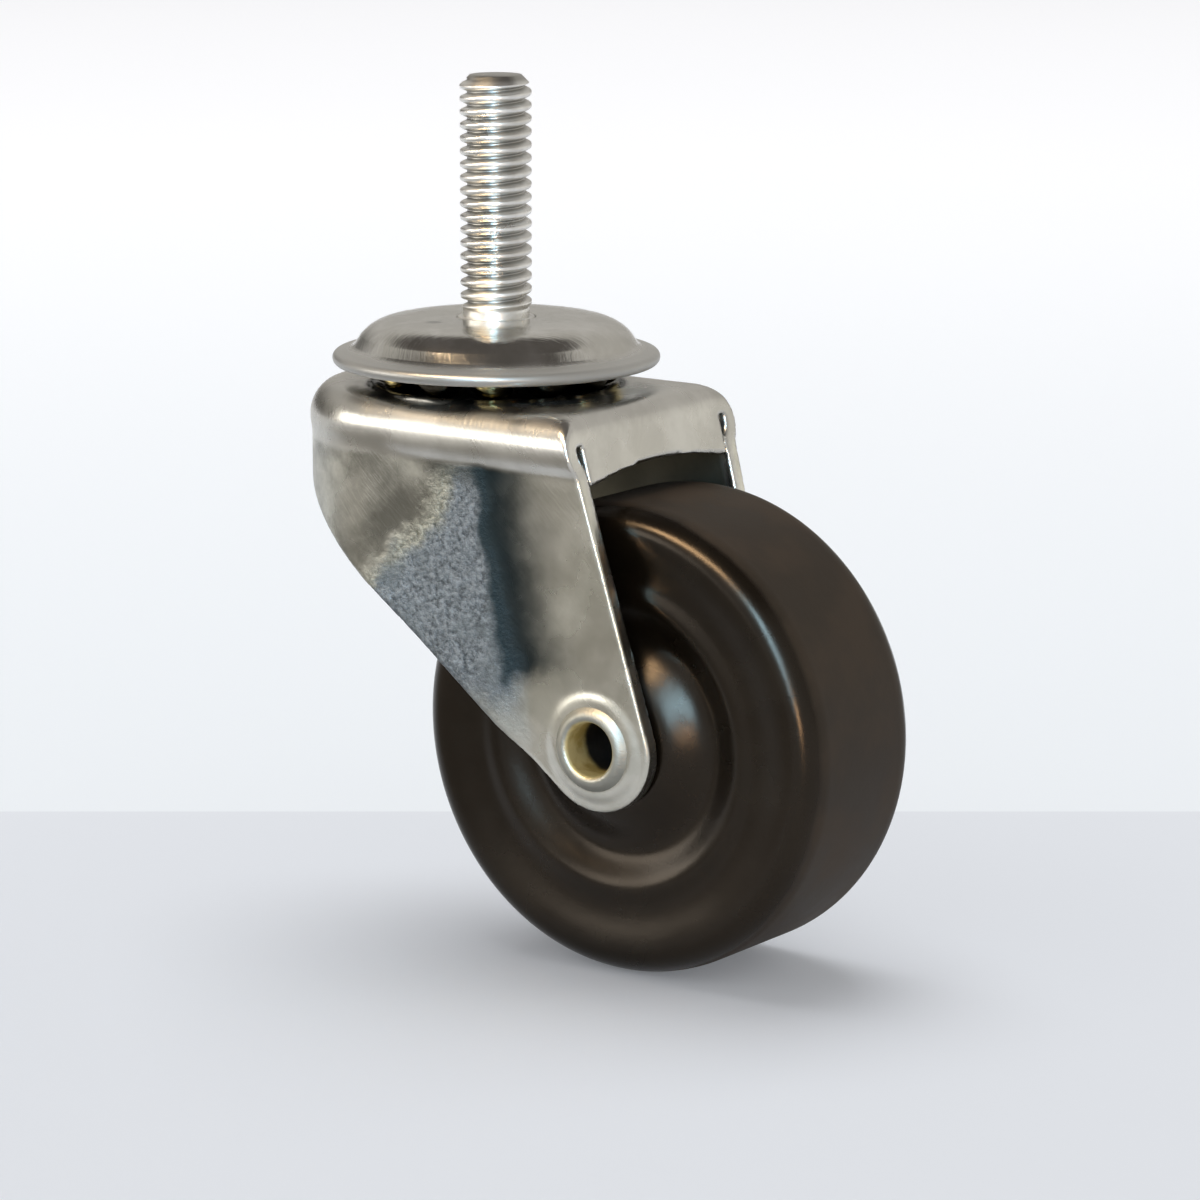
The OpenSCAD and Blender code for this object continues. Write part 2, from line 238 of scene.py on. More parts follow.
def make_hair_scratches():
    tree, source, result = group(
        "hair_scratches",
        [("Scale", "NodeSocketFloat", 300.0), ("Stretch", "NodeSocketFloat", 12.0)],
        [("Height", "NodeSocketFloat"), ("Rub", "NodeSocketFloat")])
    where = node(tree, "ShaderNodeTexCoord").outputs["Object"]
    turned_where = node(tree, "ShaderNodeMapping", {"Vector": where, "Rotation": (0.5, 0.3, 0.9)})
    split = node(tree, "ShaderNodeSeparateXYZ", {0: turned_where.outputs[0]})
    long_x = math_node(tree, "MULTIPLY", split.outputs[0], source.outputs["Stretch"])
    joined = node(tree, "ShaderNodeCombineXYZ",
                  {0: long_x, 1: split.outputs[1], 2: split.outputs[2]})
    hair = node(tree, "ShaderNodeTexNoise",
                {"Vector": joined.outputs[0], "Scale": source.outputs["Scale"], "Detail": 4.0})
    height = ramp(tree, hair.outputs["Fac"], 0.42, 0.6)
    rub = node(tree, "ShaderNodeTexNoise", {"Vector": where, "Scale": 140.0, "Detail": 5.0})
    tree.links.new(height, result.inputs["Height"])
    tree.links.new(rub.outputs["Fac"], result.inputs["Rub"])
    return tree


plating_clouds = make_plating_clouds()
hair_scratches = make_hair_scratches()
print("shared effects:", plating_clouds.name, hair_scratches.name)

# %% [markdown]
# ## Starting a finish
# Every finish starts in the same way: a material with a Principled BSDF, the clouds and
# the scratches. The methods are short words for what all finishes do. `fade` turns a
# distance into a share between two limits, and `below` does so the other way round.
# `plus` adds a share of a noise to a distance, which makes a border ragged. `patches`
# turns a noise into patches of two colours. All lengths in a finish are in metres,
# apart from the depth of a bump.

# %% Start of a finish
class Finish:
    def __init__(self, name, patch=90.0, grain=900.0, scratch=300.0, stretch=12.0):
        self.material = bpy.data.materials.new(name)
        self.material.use_nodes = True
        self.tree = self.material.node_tree
        self.shader = self.tree.nodes["Principled BSDF"]
        self.where = node(self.tree, "ShaderNodeTexCoord").outputs["Object"]
        clouds = node(self.tree, "ShaderNodeGroup", {"Patch Scale": patch, "Grain Scale": grain},
                      node_tree=plating_clouds)
        scratches = node(self.tree, "ShaderNodeGroup", {"Scale": scratch, "Stretch": stretch},
                         node_tree=hair_scratches)
        self.cloud, self.grain = clouds.outputs["Cloud"], clouds.outputs["Grain"]
        self.scratch, self.rub = scratches.outputs["Height"], scratches.outputs["Rub"]

    def feed(self, **sockets):
        for key, value in sockets.items():
            target = self.shader.inputs[key.replace("_", " ")]
            if isinstance(value, bpy.types.NodeSocket):
                self.tree.links.new(value, target)
            else:
                target.default_value = value

    def bump(self, height, depth_mm):
        made = node(self.tree, "ShaderNodeBump",
                    {"Height": height, "Distance": depth_mm * MM, "Strength": 1.0})
        self.feed(Normal=made.outputs[0])

    def vector(self, operation, first, second=(0.0, 0.0, 0.0)):
        return node(self.tree, "ShaderNodeVectorMath", {0: first, 1: second}, operation=operation)

    def xyz(self):
        return node(self.tree, "ShaderNodeSeparateXYZ", {0: self.where}).outputs[:3]

    def from_stem(self):
        flat = self.vector("MULTIPLY", self.where, (1.0, 1.0, 0.0))
        return self.vector("LENGTH", flat.outputs[0]).outputs["Value"]

    def from_axle(self):
        centred = node(self.tree, "ShaderNodeMapping",
                       {"Vector": self.where, "Location": (-AXLE_X * MM, 0.0, -AXLE_Z * MM)})
        flat = self.vector("MULTIPLY", centred.outputs[0], (1.0, 0.0, 1.0))
        return self.vector("LENGTH", flat.outputs[0]).outputs["Value"]

    def maths(self, operation, a, b=0.0):
        return math_node(self.tree, operation, a, b)

    def plus(self, value, noise, share):
        return self.maths("ADD", value, self.maths("MULTIPLY", noise, share))

    def times(self, first, *others):
        product = first
        for factor in others:
            product = self.maths("MULTIPLY", product, factor)
        return product

    def fade(self, value, low, high, low_to=0.0, high_to=1.0):
        return ramp(self.tree, value, low, high, low_to, high_to)

    def below(self, value, low, high, most=1.0):
        return self.fade(value, low, high, most, 0.0)

    def blend(self, share, a, b):
        return mixed(self.tree, share, a, b)

    def patches(self, noise, low, high, dark, light):
        return self.blend(self.fade(noise, low, high), colour(*dark), colour(*light))


# %% [markdown]
# ## Bright steel of the stem
# The stem is turned from bar and its thread is rolled, then it is zinc plated. Its
# colour is a light warm grey, a little darker where the clouds are, and the roughness
# follows the rubbing.

# %% Stem finish
def stem_finish():
    f = Finish("bright_stem_steel", patch=220.0, grain=2200.0, scratch=900.0)
    base = f.patches(f.cloud, 0.35, 0.65, (0.60, 0.58, 0.54), (0.74, 0.73, 0.70))
    # The root of the thread is painted darker, a painted shade in its groove
    thread_root_shade = f.below(f.from_stem(), 0.0031, 0.0036, 0.7)
    base = f.blend(thread_root_shade, base, colour(0.20, 0.19, 0.165))
    f.feed(Base_Color=base, Metallic=1.0, Roughness=f.fade(f.rub, 0.3, 0.7, 0.22, 0.38))
    f.bump(f.maths("ADD", f.scratch, f.grain), 0.006)
    return f.material


stem_steel = stem_finish()

# %% [markdown]
# ## The threaded stem
# The thread is a 5/16 in coarse thread, 18 turns to the inch. It could be a screw
# modifier on a small triangle, but a thread is one surface that follows a rule: the
# radius depends on how far along its own turn a point is. Geometry Nodes say just that.
# A grid is wound round the axis so that its rows climb with the thread. A row then
# keeps one radius all the way round, so the crests stay crisp with few faces. At the cap
# the thread fades into a plain neck, where the die ran out, and the tip has a chamfer.

# %% Thread rule
PITCH = 25.4 / 18
THREAD_ROOT_R, NECK_R = 3.08, 3.6
TURNS, ROWS_A_TURN, AROUND = 20, 12, 72
# How fast a flank rises, how much of the root stays flat, and between which turns the
# thread fades in over the neck
FLANK_RISE, ROOT_FLAT = 2.9, 0.22
NECK_LOW, NECK_HIGH = 0.5, 1.1


def thread_tree():
    tree = bpy.data.node_groups.new("rolled_thread", "GeometryNodeTree")
    add_socket = tree.interface.new_socket
    sizes = [("Pitch", PITCH), ("Crest Radius", STEM_R), ("Root Radius", THREAD_ROOT_R),
             ("Length", STEM_LEN), ("Tip Radius", STEM_TIP_R), ("Plain Radius", NECK_R)]
    for name, value in sizes:
        add_socket(name, in_out="INPUT", socket_type="NodeSocketFloat").default_value = value * MM
    for name, value in (("Turns", TURNS), ("Rows a Turn", ROWS_A_TURN), ("Around", AROUND)):
        add_socket(name, in_out="INPUT", socket_type="NodeSocketInt").default_value = value
    add_socket("Finish", in_out="INPUT", socket_type="NodeSocketMaterial")
    add_socket("Thread", in_out="OUTPUT", socket_type="NodeSocketGeometry")
    given = node(tree, "NodeGroupInput").outputs

    def calc(operation, a, b=0.0):
        return math_node(tree, operation, a, b)

    rows = calc("ADD", calc("MULTIPLY", given["Turns"], given["Rows a Turn"]), 1)
    columns = calc("ADD", given["Around"], 1)
    grid = node(tree, "GeometryNodeMeshGrid",
                {"Size X": 1.0, "Size Y": 1.0, "Vertices X": columns, "Vertices Y": rows})
    place = node(tree, "ShaderNodeSeparateXYZ", {0: node(tree, "GeometryNodeInputPosition").outputs[0]})
    share_round = calc("ADD", place.outputs[0], 0.5)
    turn_up = calc("MULTIPLY", calc("ADD", place.outputs[1], 0.5), given["Turns"])
    angle = calc("MULTIPLY", share_round, 2 * math.pi)
    climb = calc("SUBTRACT", calc("ADD", turn_up, share_round), 1.0)
    climb = calc("MULTIPLY", given["Pitch"], climb)
    height = calc("MINIMUM", calc("MAXIMUM", climb, 0.0), given["Length"])
    # Height of the flank: a triangle wave, cut off at the crest and eased at the root
    wave = calc("ABSOLUTE", calc("SUBTRACT", calc("FRACT", calc("ADD", turn_up, 1e-4)), 0.5))
    flank = calc("SUBTRACT", calc("MULTIPLY", wave, FLANK_RISE), ROOT_FLAT)
    flank = calc("MINIMUM", calc("MAXIMUM", flank, 0.0), 1.0)
    eased_flank = calc("MULTIPLY", flank, calc("SUBTRACT", 2.0, flank))
    deep = calc("SUBTRACT", given["Crest Radius"], given["Root Radius"])
    radius = calc("ADD", given["Root Radius"], calc("MULTIPLY", deep, eased_flank))
    # Near the cap the thread fades into a plain neck, and at the tip into the chamfer
    neck_low = calc("MULTIPLY", given["Pitch"], NECK_LOW)
    neck_high = calc("MULTIPLY", given["Pitch"], NECK_HIGH)
    fade_in = ramp(tree, height, neck_low, neck_high)
    necked = calc("ADD", calc("MULTIPLY", radius, fade_in),
                  calc("MULTIPLY", given["Plain Radius"], calc("SUBTRACT", 1.0, fade_in)))
    chamfer = calc("ADD", given["Tip Radius"], calc("SUBTRACT", given["Length"], height))
    final = calc("MINIMUM", necked, chamfer)
    wound = node(tree, "ShaderNodeCombineXYZ",
                 {0: calc("MULTIPLY", final, calc("COSINE", angle)),
                  1: calc("MULTIPLY", final, calc("SINE", angle)), 2: height})
    moved = node(tree, "GeometryNodeSetPosition",
                 {"Geometry": grid.outputs["Mesh"], "Position": wound.outputs[0]})
    ends = []
    for end_radius, end_height in ((given["Plain Radius"], 0.0), (given["Tip Radius"], given["Length"])):
        disc = node(tree, "GeometryNodeMeshCircle", {"Vertices": given["Around"], "Radius": end_radius},
                    fill_type="TRIANGLE_FAN")
        spot = node(tree, "ShaderNodeCombineXYZ", {2: end_height})
        ends.append(node(tree, "GeometryNodeTransform",
                         {"Geometry": disc.outputs[0], "Translation": spot.outputs[0]}).outputs[0])
    together = node(tree, "GeometryNodeJoinGeometry")
    for part in [moved.outputs[0]] + ends:
        tree.links.new(part, together.inputs[0])
    closed = node(tree, "GeometryNodeMergeByDistance",
                  {"Geometry": together.outputs[0], "Distance": 1e-6})
    real = node(tree, "GeometryNodeRealizeInstances", {"Geometry": closed.outputs[0]})
    finished = node(tree, "GeometryNodeSetMaterial",
                    {"Geometry": real.outputs[0], "Material": given["Finish"]})
    tree.links.new(finished.outputs[0], node(tree, "NodeGroupOutput").inputs[0])
    return tree


# %% Wind the thread and turn the result into a plain mesh
def socket_id(tree, name):
    return next(s.identifier for s in tree.interface.items_tree if s.name == name)


def plain_mesh(name, tree, values):
    holder = bpy.data.objects.new(name + "_rule", bpy.data.meshes.new(name + "_rule"))
    bpy.context.scene.collection.objects.link(holder)
    rule = holder.modifiers.new("rule", "NODES")
    rule.node_group = tree
    for key, value in values.items():
        rule[socket_id(tree, key)] = value
    bpy.context.view_layer.update()
    seen = holder.evaluated_get(bpy.context.evaluated_depsgraph_get())
    mesh = bpy.data.meshes.new_from_object(seen)
    holder.modifiers.remove(rule)
    bpy.data.objects.remove(holder)
    mesh.name = name
    return mesh


thread_mesh = plain_mesh("thread", thread_tree(), {"Finish": stem_steel})
outward(thread_mesh)
print("thread:", len(thread_mesh.polygons), "faces,", round(STEM_LEN / PITCH, 1), "turns")

# %% [markdown]
# Under the thread the same bar goes through the cap. It has a collar below the cap's
# sheet, the kingpin that the fork swivels round, and an end that is peened over the
# lower race. That part is a turned profile, joined to the thread as one piece.

# %% Kingpin, collar and peened head
# The bar's end reaches this far up inside the thread's neck
CORE_R, CORE_H = 3.5, 0.5
collar_low = -CAP_T - COLLAR_T
crown = (HEAD_R ** 2 + HEAD_H ** 2) / 2 / HEAD_H
head = [(x, RACE_LOW - (math.sqrt(crown ** 2 - x ** 2) - crown + HEAD_H))
        for x in np.linspace(0, HEAD_R, 16)]
kingpin_profile = eased(
    [(0, CORE_H), (CORE_R, CORE_H), (CORE_R, 0), (KINGPIN_R, 0), (KINGPIN_R, -CAP_T),
     (COLLAR_R, -CAP_T), (COLLAR_R, collar_low), (KINGPIN_R, collar_low),
     (KINGPIN_R, RACE_TOP), (PEG_R, RACE_TOP), (PEG_R, RACE_LOW), (HEAD_R, RACE_LOW)], 0.2)
kingpin_profile = [p for p in kingpin_profile if p[0] > 1e-4][:-2]
kingpin_profile = [(0, CORE_H)] + kingpin_profile + [(HEAD_R, RACE_LOW - 0.05)] + head[::-1]
stem = turned("stem_turned_and_threaded", kingpin_profile, segments=96)
stem.data.materials.append(stem_steel)
both = bmesh.new()
both.from_mesh(stem.data)
both.from_mesh(thread_mesh)
both.to_mesh(stem.data)
both.free()
stem.data.shade_smooth()
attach(stem, "stem")
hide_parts("threaded_stem")

# %% [markdown]
# ## The cap
# The cap is a cup that a press draws from sheet: a flat top that the stem is tightened
# through, a crown, a rounded shoulder with the upper ball track inside it, and a flared
# skirt that ends in a narrow brim with a rolled bead. One profile gives all of it. Its
# plating is brighter than the fork's, with fine rubbing in all directions. The brim is
# rubbed matt, and a smudge of old dirt lies in front of the stem.

# %% Cap finish
SMUDGE_AT = (-0.0024, -0.0079, 0.0)


def cap_finish():
    f = Finish("bright_cap_plating", patch=150.0, grain=1500.0, scratch=500.0)
    base = f.patches(f.cloud, 0.4, 0.62, (0.50, 0.485, 0.44), (0.60, 0.585, 0.545))
    from_smudge = f.vector("DISTANCE", f.where, SMUDGE_AT).outputs["Value"]
    smudge = f.below(f.plus(from_smudge, f.grain, 0.0014), 0.0010, 0.0019, 0.75)
    base = f.blend(smudge, base, colour(0.10, 0.095, 0.085))
    brim = f.fade(f.plus(f.from_stem(), f.cloud, 0.0006), 0.0154, 0.0167)
    base = f.blend(brim, base, colour(0.37, 0.36, 0.335))
    f.feed(Base_Color=base, Metallic=f.plus(1.0, brim, -0.5),
           Roughness=f.plus(f.fade(f.rub, 0.3, 0.75, 0.09, 0.19), brim, 0.25))
    f.bump(f.plus(f.cloud, f.scratch, 0.5), 0.012)
    return f.material


cap_steel = cap_finish()


# %% Cap
CAP_HOLE_R = KINGPIN_R + 0.02
FLARE_STEEP, FLARE_FLAT, FLARE_R = 50.0, 14.0, 1.6
# How wide the brim is, and how far above its bead the flare ends
BRIM_W, BRIM_RISE = 1.1, 0.27
flat_sin, flat_cos = math.sin(math.radians(FLARE_FLAT)), math.cos(math.radians(FLARE_FLAT))
bead_x = CAP_R - BEAD_R
brim_x = bead_x + BEAD_R * flat_sin
brim_z = -CAP_H + BEAD_R * flat_cos
FLARE_X = brim_x - BRIM_W + FLARE_R * flat_sin
FLARE_Z = brim_z + BRIM_RISE + FLARE_R * flat_cos


def cap_side(skin):
    return ([(CAP_HOLE_R, -skin)]
            + arc(CROWN_X, -CROWN_R, CROWN_R - skin, 90, 80, 8)
            + arc(BEND_X, BEND_Z, BEND_R - skin, 78, 90 - FLARE_STEEP, 16)
            + arc(FLARE_X, FLARE_Z, FLARE_R + skin, 270 - FLARE_STEEP, 270 - FLARE_FLAT, 12)[1:])


bead = arc(bead_x, -CAP_H, BEAD_R, 90 - FLARE_FLAT, -90, 24) + [(bead_x - CAP_T, -BEAD_R - CAP_H)]
cap_inside = (arc(BEND_X, BEND_Z, BEND_R - CAP_T, 44, 78, 16)
              + arc(CROWN_X, -CROWN_R, CROWN_R - CAP_T, 80, 90, 8) + [(CAP_HOLE_R, -CAP_T)])
cap_profile = cap_side(0) + bead + cap_inside
print("the flare ends at", [round(c, 2) for c in cap_side(0)[-1]])
cap = turned("cap_pressed_cup", eased(cap_profile, 0.35), segments=256)
cap.data.materials.append(cap_steel)
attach(cap, "stem")
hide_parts("top_cap")

# %% [markdown]
# ## The fork
# The fork is one sheet of steel: a flat top plate with two ball tracks pressed into it,
# a rolled shoulder, a round nose, two folded legs and an apron at the back. Box
# modelling such a blend of bends takes many loops of edges. Here the sheet is written
# as a distance field instead: at each point a number says how far that point is from
# the steel's surface. Two forms join softly where the sheet is bent, and a hollow with
# the same shape, one sheet thickness smaller, is taken out of it.

# %% Blends between two distance fields
def soft_max(a, b, width):
    share = np.maximum(width - np.abs(a - b), 0.0) / width
    return np.maximum(a, b) + share * share * width * 0.25


def soft_min(a, b, width):
    return -soft_max(-a, -b, width)


def s_curve(value, low, high):
    t = np.clip((value - low) / (high - low), 0.0, 1.0)
    return t * t * (3 - 2 * t)


def corner(dx, dz, angle_a, angle_b):
    # Distance to a wedge with its tip at the origin, between two lines whose outward
    # normals point at angle_a and angle_b degrees
    a, b = math.radians(angle_a), math.radians(angle_b)
    to_a = dx * math.cos(a) + dz * math.sin(a)
    to_b = dx * math.cos(b) + dz * math.sin(b)
    middle = (a + b) / 2
    half_gap = abs(a - b) / 2
    ahead = dx * math.cos(middle) + dz * math.sin(middle)
    aside = np.abs(-dx * math.sin(middle) + dz * math.cos(middle))
    if half_gap < math.pi / 2:
        at_tip = (ahead > 0) & (aside <= ahead * math.tan(half_gap))
    else:
        at_tip = (ahead > 0) | (aside <= -ahead * math.tan(math.pi - half_gap))
    return np.where(at_tip, np.hypot(dx, dz), np.maximum(to_a, to_b))


# %% Distance fields of the fork
TRAIL_SLOPE, LEAD_SLOPE, APRON_BEND_R = 16.0, 39.3, 3.6
APRON_LOW, APRON_ARCH, SLIT_W, SLIT_Z = FORK_TOP - 7.7, 1.4, 0.4, FORK_TOP - 3.4
SHOULDER_Y, SHOULDER_Z = NOSE_R - SHOULDER_R, FORK_TOP - SHOULDER_R
APRON_BEND_X, APRON_BEND_Z = 17.076, FORK_TOP - APRON_BEND_R
HOLE_R, RIVET_HOLE_R = 5.0, 3.42
# How far the legs step in under the shoulder, what share of their way in to the pads is
# a lean and not the fold, and where the step and the fold begin and end
LEG_STEP, LEAN_SHARE = 0.5, 0.45
STEP_SPAN, FOLD_SPAN = (NOSE_X - 1.0, 1.5), (FOLD_X - 4.5, FOLD_X + 0.5)
# The roll of the shoulder keeps this far inside the outline of the solids
INSIDE_OUTLINE = 0.015


def leg_half(x, z):
    # The legs step in under the shoulder, lean in towards the axle, and step in once
    # more at the fold
    straight = LEG_AXLE_Y + LEG_TAPER * (z - AXLE_Z)
    lean = np.clip((x - NOSE_X) / (FOLD_X - NOSE_X), 0.0, 1.0)
    share = LEAN_SHARE * lean + (1 - LEAN_SHARE) * s_curve(x, *FOLD_SPAN)
    step = LEG_STEP * s_curve(x, *STEP_SPAN)
    return WALL_R - step + (straight - WALL_R + step) * share


def fork_body(x, y, z):
    round_nose = np.hypot(np.minimum(x - NOSE_X, 0.0), y)
    crest = round_nose - SHOULDER_Y
    roll = np.hypot(np.maximum(crest, 0.0), z - SHOULDER_Z) - SHOULDER_R
    walls = np.maximum(round_nose - leg_half(x, z), z - SHOULDER_Z)
    return np.maximum(soft_min(roll, walls, 0.3), round_nose - NOSE_R + INSIDE_OUTLINE)


def fork_side(x, z, skin=0.0):
    return corner(x - APRON_BEND_X, z - APRON_BEND_Z, TRAIL_SLOPE, 90.0) - (APRON_BEND_R - skin)


def leg_ends(x, z):
    return corner(x - AXLE_X, z - AXLE_Z, TRAIL_SLOPE, -90.0 - LEAD_SLOPE) - LEG_END_R


def apron_tongue(y, z):
    half = LEG_AXLE_Y + LEG_TAPER * (SLIT_Z - AXLE_Z) - SHEET_T - SLIT_W
    arch_r = (half * half + APRON_ARCH * APRON_ARCH) / 2 / APRON_ARCH
    under_arch = arch_r - np.hypot(y, z - (APRON_LOW + APRON_ARCH - arch_r))
    return soft_max(soft_max(np.abs(y) - half, APRON_LOW - z, 0.5), under_arch, 0.5)


# %% [markdown]
# The last number of each soft join is the width of its bend or its broken edge, in
# millimetres. The order is that of the press shop: the sheet and its bends, the apron
# and its slits, the pads for the rivet, the two ball tracks, and the holes.

# %% The whole fork as one field
def fork_field(x, y, z):
    body = fork_body(x, y, z)
    bend_width = 0.3 + 0.5 * s_curve(z, SLIT_Z - 0.5, SHOULDER_Z + 2.0)
    outside = soft_max(soft_max(body, fork_side(x, z), bend_width), leg_ends(x, z), 0.35)
    below_plate = fork_side(x, z, SHEET_T)
    no_apron = soft_max(z - SLIT_Z, -apron_tongue(y, z), 0.15)
    hollow = soft_max(body + SHEET_T, soft_min(below_plate, no_apron, 0.2), 0.25)
    sheet = soft_max(outside, -hollow, 0.25)
    from_pad = np.abs(np.abs(y) - (PAD_IN + PAD_OUT) / 2)
    from_axle = np.hypot(x - AXLE_X, z - AXLE_Z)
    pads = soft_max(from_axle - PAD_R, from_pad - (PAD_OUT - PAD_IN) / 2, 0.8)
    sheet = soft_min(sheet, pads, 1.0)
    from_kingpin = np.hypot(x, y)
    row = np.hypot(from_kingpin - BALL_ROW_R, z - BALL_Z)
    lower_row = np.hypot(from_kingpin - LOWER_ROW_R, z - LOWER_BALL_Z)
    track = soft_max(row - BALL_GROOVE_R - SHEET_T, z - FORK_TOP, 0.3)
    track = np.maximum(track, from_kingpin - (NOSE_R - SHEET_T))
    lower_track = np.maximum(lower_row - LOWER_GROOVE_R - SHEET_T, FORK_TOP - SHEET_T - z)
    sheet = soft_min(soft_min(sheet, track, 0.4), lower_track, 0.6)
    sheet = soft_max(sheet, BALL_GROOVE_R - row, 0.3)
    sheet = soft_max(sheet, LOWER_GROOVE_R - lower_row, 0.3)
    sheet = soft_max(sheet, HOLE_R - from_kingpin, 0.3)
    return soft_max(sheet, RIVET_HOLE_R - from_axle, 0.3)


# %% [markdown]
# A field is turned into faces by surface nets. Space is cut into small cells. Each cell
# that the surface crosses gets one point, and each crossed cell edge becomes a face
# between the four cells round it. The points are then moved along the slope of the
# field until they lie on the surface exactly, so the bends come out smooth.

# %% Surface nets
def surface_net(field, low, high, cell):
    axes = [np.arange(a, b + cell, cell) for a, b in zip(low, high)]
    grid = np.meshgrid(*axes, indexing="ij")
    values = field(*grid)
    inside = values < 0
    cells = tuple(n - 1 for n in values.shape)
    totals = np.zeros((np.prod(cells), 3))
    counts = np.zeros(np.prod(cells))
    quads = []
    for axis in range(3):
        near = [slice(None)] * 3
        far = [slice(None)] * 3
        near[axis], far[axis] = slice(None, -1), slice(1, None)
        where = np.argwhere(inside[tuple(near)] != inside[tuple(far)])
        beyond = where.copy()
        beyond[:, axis] += 1
        a, b = values[tuple(where.T)], values[tuple(beyond.T)]
        point = where.astype(float)
        point[:, axis] += a / (a - b)
        u, v = [(1, 2), (2, 0), (0, 1)][axis]
        ring = []
        for du, dv in ((-1, -1), (0, -1), (0, 0), (-1, 0)):
            around = where.copy()
            around[:, u] += du
            around[:, v] += dv
            flat = np.ravel_multi_index(tuple(around.T), cells)
            np.add.at(totals, flat, point)
            np.add.at(counts, flat, 1)
            ring.append(flat)
        quad = np.stack(ring, 1)
        leaving = inside[tuple(where.T)]
        quads.append(np.where(leaving[:, None], quad, quad[:, ::-1]))
    used = np.flatnonzero(counts)
    number = np.full(len(counts), -1)
    number[used] = np.arange(len(used))
    points = totals[used] / counts[used][:, None] * cell + np.array(low)
    return points, number[np.concatenate(quads)]


def settle(field, points, cell, rounds=5, step=0.02):
    for _ in range(rounds):
        value = field(*points.T)
        slope = np.stack([(field(*(points + d).T) - field(*(points - d).T)) / (2 * step)
                          for d in np.eye(3) * step], 1)
        size = np.maximum((slope ** 2).sum(1), 0.2)
        move = -value[:, None] * slope / size[:, None]
        length = np.linalg.norm(move, axis=1, keepdims=True)
        points = points + move * np.minimum(1.0, 0.5 * cell / np.maximum(length, 1e-9))
    return points


# %% Press the fork
CELL = 0.34
fork_low = (-22.4, -16.0, -49.9)
fork_high = (30.6, 16.0, -5.9)
net, faces = surface_net(fork_field, fork_low, fork_high, CELL)
net = settle(fork_field, net, CELL)
fork_mesh = bpy.data.meshes.new("fork_pressed_sheet")
fork_mesh.from_pydata((net * MM).tolist(), [], faces.tolist())
fork_mesh.validate()
check = bmesh.new()
check.from_mesh(fork_mesh)
if check.calc_volume(signed=True) < 0:
    bmesh.ops.reverse_faces(check, faces=check.faces)
    check.to_mesh(fork_mesh)
print("fork:", len(fork_mesh.polygons), "faces,", round(abs(check.calc_volume()) * 1e9), "cubic mm,",
      sum(not e.is_manifold for e in check.edges), "open edges")
check.free()
fork_mesh.shade_smooth()
fork = bpy.data.objects.new("fork_pressed_sheet", fork_mesh)
bpy.context.scene.collection.objects.link(fork)

# %% [markdown]
# The fork's plating is smooth and warm grey at the nose, on the shoulder and behind the
# fold. Where the press drew the sheet down into the legs, the zinc is dull, blue and
# speckled, with an olive border towards the nose. Along the fold a nearly black band is
# painted shade and a painted dark reflection of the concave sheet. Under the shoulder's
# roll the leg is painted darker, a painted shade, and the ball track under the cap is
# painted near black, a painted shade under the cap. Inside the fork the legs and the
# apron are rougher and painted dark, a painted shade. The finish lays these zones out
# with Object coordinates and gives them ragged borders by adding noise to the distances.

# %% Zones of the fork's plating
# Each border fades between two limits, in metres. The dull zone starts at a line that
# leans forwards from the shoulder, and the band of painted shade along the fold leans
# back a little, crisp in front and soft behind.
LINE_LEAN, BAND_LEAN, ZONE_TOP = -0.72, 0.2, 0.0135
DULL_START, DULL_STOP, DULL_LOW = (0.0022, 0.0056), (0.0082, 0.0105), (-0.0430, -0.0360)
FOLD_SHADE_START, FOLD_SHADE_STOP, FOLD_SHADE_LOW = (0.0066, 0.0084), (0.0098, 0.0178), (-0.0385, -0.0345)
OLIVE_BORDER = (0.0050, 0.0075)
OUTER_FACE, INNER_FACE, APRON_FACE = (0.0140, 0.0145), (0.0138, 0.0144), (0.0020, 0.0030)
LEG_TOP, INSIDE_TOP = (-0.0140, -0.0131), (-0.0142, -0.0130)
CLOUD_EDGE = (0.36, 0.66)
FOLD_SHADE_BLACK = colour(0.020, 0.032, 0.038)
CAP_SHADE_BLACK = colour(0.03, 0.027, 0.02)


